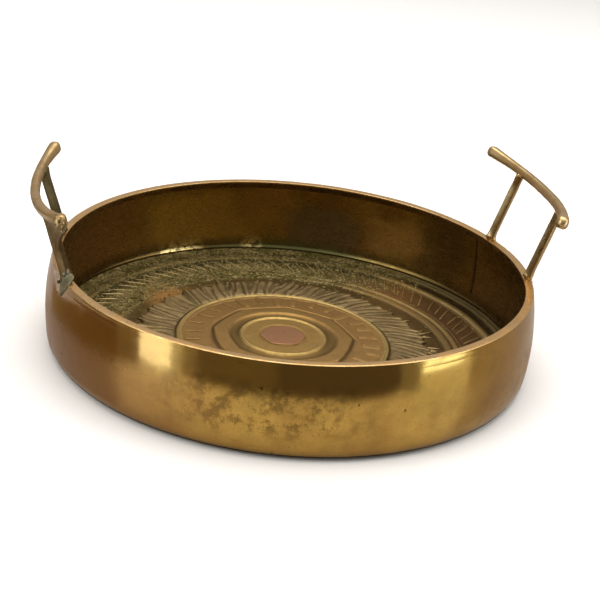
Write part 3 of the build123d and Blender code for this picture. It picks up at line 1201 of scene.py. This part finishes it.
def buildWeb(foot, head, rise):
    # the left near post spreads into a flat web that runs up to the bar's end
    at, near, far = barRun("left")
    knob = at(near)
    across = (knob - head).normalized()
    reach = (knob - head).length
    length = (head - foot).length
    run = []
    last = web["stations"]
    for step in range(last + 1):
        share = web["start"] + (1 - web["start"]) * step / last
        spread = (step / last) ** 1.8
        half = web["half"] + spread * (reach + 1.5 * mm) / 2
        centre = foot + rise * length * share + across * (half - web["inset"])
        run.append((centre + Vector((0, 0, -1.8 * mm)) * spread, half, web["half"] - 0.3 * mm * spread))
    bm = sweepRings(placesAlong(run, across, rise), 40, 2.6)
    roughen(bm, 0.28 * mm, 6 * mm, 3.3)
    roughen(bm, 0.08 * mm, 2 * mm, 6.3)
    finishPiece(bm, "postWeb_left_near", [metals["webBrass"]])
    bm = bmesh.new()
    addBlob(bm, knob + Vector(web["crustShift"]), web["crustSize"], subdivisions=5)
    roughen(bm, 0.5 * mm, 3.4 * mm, 1.7)
    bm.normal_update()
    for vert in bm.verts:      # the crust is pitted
        pit = wave(vert.co, web["pitSize"], 4.6)
        if pit > 0.08:
            vert.co -= vert.normal * web["pitDepth"] * min(1.0, (pit - 0.08) * 4)
    finishPiece(bm, "jointCrust_left", [metals["brazeMetal"]])


for side in ("left", "right"):
    buildBar(side)
    for end in ("near", "far"):
        foot, head, rise = buildPost(side, end)
        buildBraze(side, end, head, rise)
        buildSolder(side, end, foot, rise)
        if isMended(side, end):
            buildWeb(foot, head, rise)
print("handles made")

buildSeam()
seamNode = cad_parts["base_seam"]
seamNode.data.materials.clear()
seamNode.data.materials.append(metals["seamDirt"])
print("seams finished")


# stage, camera and light

stage = {
    "floorSize": 60.0,
    "floorColour": (0.86, 0.855, 0.845),
    "cardFar": 1.6,
    "cardTop": 0.55,
    "uneven": 0.16,      # how much the near edges of the cards wander
    # each card lies on the floor and is seen only in the metal. The first two angles say between
    # which bearings on the wall it shows, then how far out it starts and stops, and its light
    "cards": {
        "frontShade": (-104.0, -79.5, 0.160, None, (0.18, 0.15, 0.13)),
        "frontSoft": (-120.0, -104.0, 0.160, None, (0.28, 0.235, 0.17)),
        "frontEdge": (-120.0, -79.5, 0.125, 0.160, (0.45, 0.40, 0.33)),
        "leftHalf": (-123.0, -120.0, 0.150, None, (0.55, 0.49, 0.42)),
        "leftHalo": (-125.6, -123.0, 0.150, None, (1.3, 1.4, 1.4)),
        "leftWindow": (-132.8, -125.6, 0.165, None, (3.9, 4.7, 6.0)),
        "leftGlow": (-132.8, -125.6, 0.11, 0.165, (1.9, 2.1, 2.2)),
        "leftEdge": (-139.0, -132.8, 0.10, None, (0.50, 0.42, 0.24)),
        "leftShade": (-168.0, -139.0, 0.078, 0.24, (0.40, 0.27, 0.10)),
        "leftMid": (-168.0, -139.0, 0.24, 0.42, (0.36, 0.25, 0.12)),
        "leftFar": (-168.0, -139.0, 0.42, None, (0.50, 0.40, 0.26)),
        "leftSide": (-215.0, -139.0, 0.006, 0.078, (0.62, 0.52, 0.45)),
        "leftRound": (-215.0, -168.0, 0.078, None, (0.60, 0.50, 0.42)),
        "rightHalf": (-79.5, -75.0, 0.145, None, (0.45, 0.42, 0.38)),
        "rightGlow": (-75.0, -62.5, 0.03, 0.33, (1.35, 1.36, 1.25)),
        "rightWindow": (-74.5, -64.5, 0.33, None, (3.9, 4.9, 6.2)),
        "rightSide": (-62.5, -20.0, 0.012, None, (0.66, 0.56, 0.46)),
        "backShade": (60.0, 118.0, 0.14, None, (0.24, 0.19, 0.15)),
        "backWindow": (122.0, 130.0, 0.14, None, (2.4, 2.8, 3.2)),
    },
}


def plainMaterial(name, colour, glows=False):
    material, tree, place = startMaterial(name, 0.0, 0.9)
    tone = place.noise(0.25, 3).remap(0.3, 0.7, 0.85 if glows else 0.99, 1.0)
    node = tree.nodes.new("ShaderNodeVectorMath")
    node.operation = "SCALE"
    node.inputs[0].default_value = colour
    plug(tree, node.inputs["Scale"], tone)
    shade = Field(tree, node.outputs[0])
    finishMaterial(tree, {"Specular IOR Level": 0.0, "Base Color": (0, 0, 0) if glows else shade})
    if glows:
        finishMaterial(tree, {"Emission Color": shade, "Emission Strength": 1.0})
    return material


def buildFloor():
    bm = bmesh.new()
    bmesh.ops.create_grid(bm, x_segments=16, y_segments=16, size=stage["floorSize"] / 2)
    floor = makeObject(bm, "floor", [plainMaterial("paleFloor", stage["floorColour"])])


def buildCard(name, first, last, near, far, colour):
    # follows the light path from the camera to the wall and on, so its edges show upright
    watcher = cameraPlace() if first < 0 else -cameraPlace()
    far, rise = (stage["cardFar"], stage["cardTop"]) if far is None else (far, None)
    steps = max(4, int(abs(last - first) * 1.5))
    bm = bmesh.new()
    rows = []
    for step in range(steps + 1):
        bearing = math.radians(first + (last - first) * step / steps)
        wallPoint = spoke(bearing) * wallHigh.x
        seen = (watcher - wallPoint).xy
        away = 2 * bearing - math.atan2(seen.y, seen.x)
        ray = spoke(away)
        uneven = 1 + stage["uneven"] * wave(Vector((bearing, 0, 0)), 0.09, 3.0)
        row = [wallPoint + ray * reach * (uneven if 0.1 < reach < 0.2 else 1) for reach in (near, far)]
        row = [Vector((point.x, point.y, 0.001)) for point in row]
        if rise:
            row.append(row[-1] + ray * 0.02 + Vector((0, 0, rise)))
        rows.append([bm.verts.new(point) for point in row])
    for before, after in zip(rows, rows[1:]):
        for low in range(len(before) - 1):
            bm.faces.new((before[low], before[low + 1], after[low + 1], after[low]))
    card = makeObject(bm, name, [plainMaterial(name + "Tone", colour, True)])
    for kind in ("camera", "diffuse", "shadow", "transmission", "volume_scatter"):
        setattr(card, "visible_" + kind, False)


cameraSet = {
    "turn": -13.1,
    "elevation": 25.42,
    "distance": 0.8413,
    "aim": (-0.0102, 0.0128, 0.0224),
    "lens": 78.0,
    "roll": 5.32,
    "shift": 0.05,
}


def cameraPlace():
    turn, rise = math.radians(cameraSet["turn"]), math.radians(cameraSet["elevation"])
    away = Vector((math.sin(turn) * math.cos(rise), -math.cos(turn) * math.cos(rise), math.sin(rise)))
    return away * cameraSet["distance"]


buildFloor()
for cardName, card in stage["cards"].items():
    buildCard(cardName, *card)


def buildCamera():
    data = bpy.data.cameras.new("camera")
    data.sensor_width = 36
    data.lens = cameraSet["lens"]
    data.shift_x = cameraSet["shift"]
    camera = bpy.data.objects.new("camera", data)
    scene.collection.objects.link(camera)
    camera.location = cameraPlace()
    look = (Vector(cameraSet["aim"]) - camera.location).to_track_quat("-Z", "Y")
    camera.rotation_mode = "QUATERNION"
    camera.rotation_quaternion = look @ Matrix.Rotation(math.radians(cameraSet["roll"]), 3, "Z").to_quaternion()
    scene.camera = camera


lights = {
    "overhead": {"at": (0.1, 0.25, 1.5), "size": 1.6, "power": 26, "colour": (1.0, 0.985, 0.96)},
    "leftSoft": {"at": (-1.3, -0.5, 1.0), "size": 0.9, "power": 10, "colour": (1.0, 0.97, 0.92)},
    "rightSoft": {"at": (1.4, -0.4, 1.1), "size": 0.9, "power": 8, "colour": (1.0, 0.97, 0.92)},
}


def buildLights():
    for name, light in lights.items():
        data = bpy.data.lights.new(name, "AREA")
        data.size = light["size"]
        data.energy = light["power"]
        data.color = light["colour"]
        lamp = bpy.data.objects.new(name, data)
        lamp.location = light["at"]
        lamp.rotation_mode = "QUATERNION"
        lamp.rotation_quaternion = (-Vector(light["at"])).to_track_quat("-Z", "Y")
        scene.collection.objects.link(lamp)
    world = bpy.data.worlds.new("softRoom")
    world.use_nodes = True
    world.node_tree.nodes["Background"].inputs["Color"].default_value = (0.93, 0.91, 0.88, 1)
    world.node_tree.nodes["Background"].inputs["Strength"].default_value = 0.55
    scene.world = world
    scene.view_settings.view_transform = "Standard"


buildCamera()
buildLights()
print("stage made")
